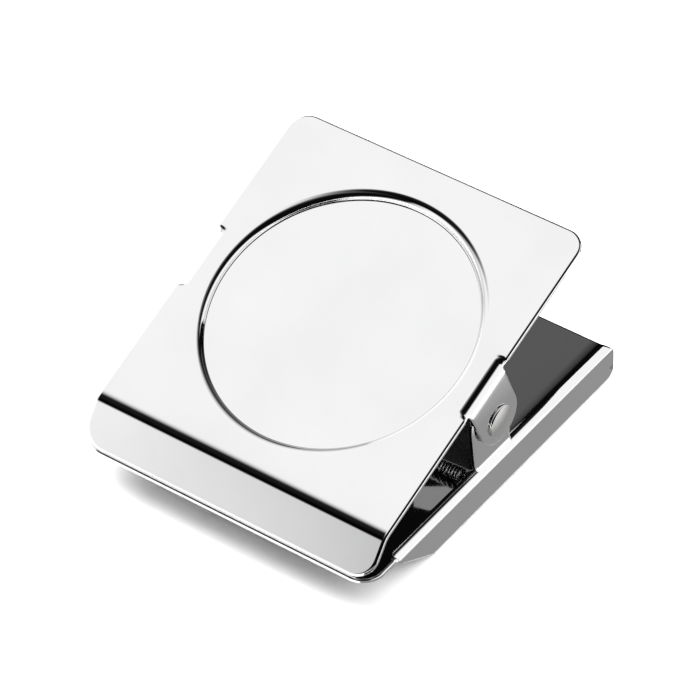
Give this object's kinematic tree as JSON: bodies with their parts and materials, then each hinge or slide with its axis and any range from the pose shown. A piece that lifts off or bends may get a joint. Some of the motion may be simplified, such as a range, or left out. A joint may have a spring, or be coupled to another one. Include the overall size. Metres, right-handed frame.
{
  "type": "magnetic spring clip",
  "caption": "Chromed steel spring clip with a wide jaw, a round dish in its front plate and a block magnet behind, squeezed open at the handles.",
  "frame": {"origin": "centre of the magnet's face, which is the middle of the lowest level of the clip's box", "axes": "+X along the pivot pin, +Y from the jaw towards the handles, +Z from the magnet's face up through the back plate to the dished front plate"},
  "size_m": [0.0584, 0.0678, 0.0352],
  "materials": {
    "plate_steel": "bright chrome plate",
    "pin_steel": "bright nickel plate",
    "spring_steel": "drawn wire, thin zinc plate",
    "ferrite": "ground ferrite, matt",
    "adhesive": "cured adhesive, satin"
  },
  "bodies": {
    "back": {"back_plate": "plate_steel", "magnet": "ferrite", "magnet_adhesive": "adhesive", "torsion_spring_right": "spring_steel", "torsion_spring_left": "spring_steel"},
    "front": {"front_plate": "plate_steel", "pivot_pin": "pin_steel"}
  },
  "joints": [
    {"name": "squeeze", "type": "hinge", "parent": "back", "child": "front", "pos_m": [0, 0.00145, 0.01506], "axis": [-1, 0, 0], "range_deg": [0, 50], "stiffness_Nm_per_rad": 0.3, "springref_deg": -45.84, "deforming": ["torsion_spring_right", "torsion_spring_left"]}
  ]
}
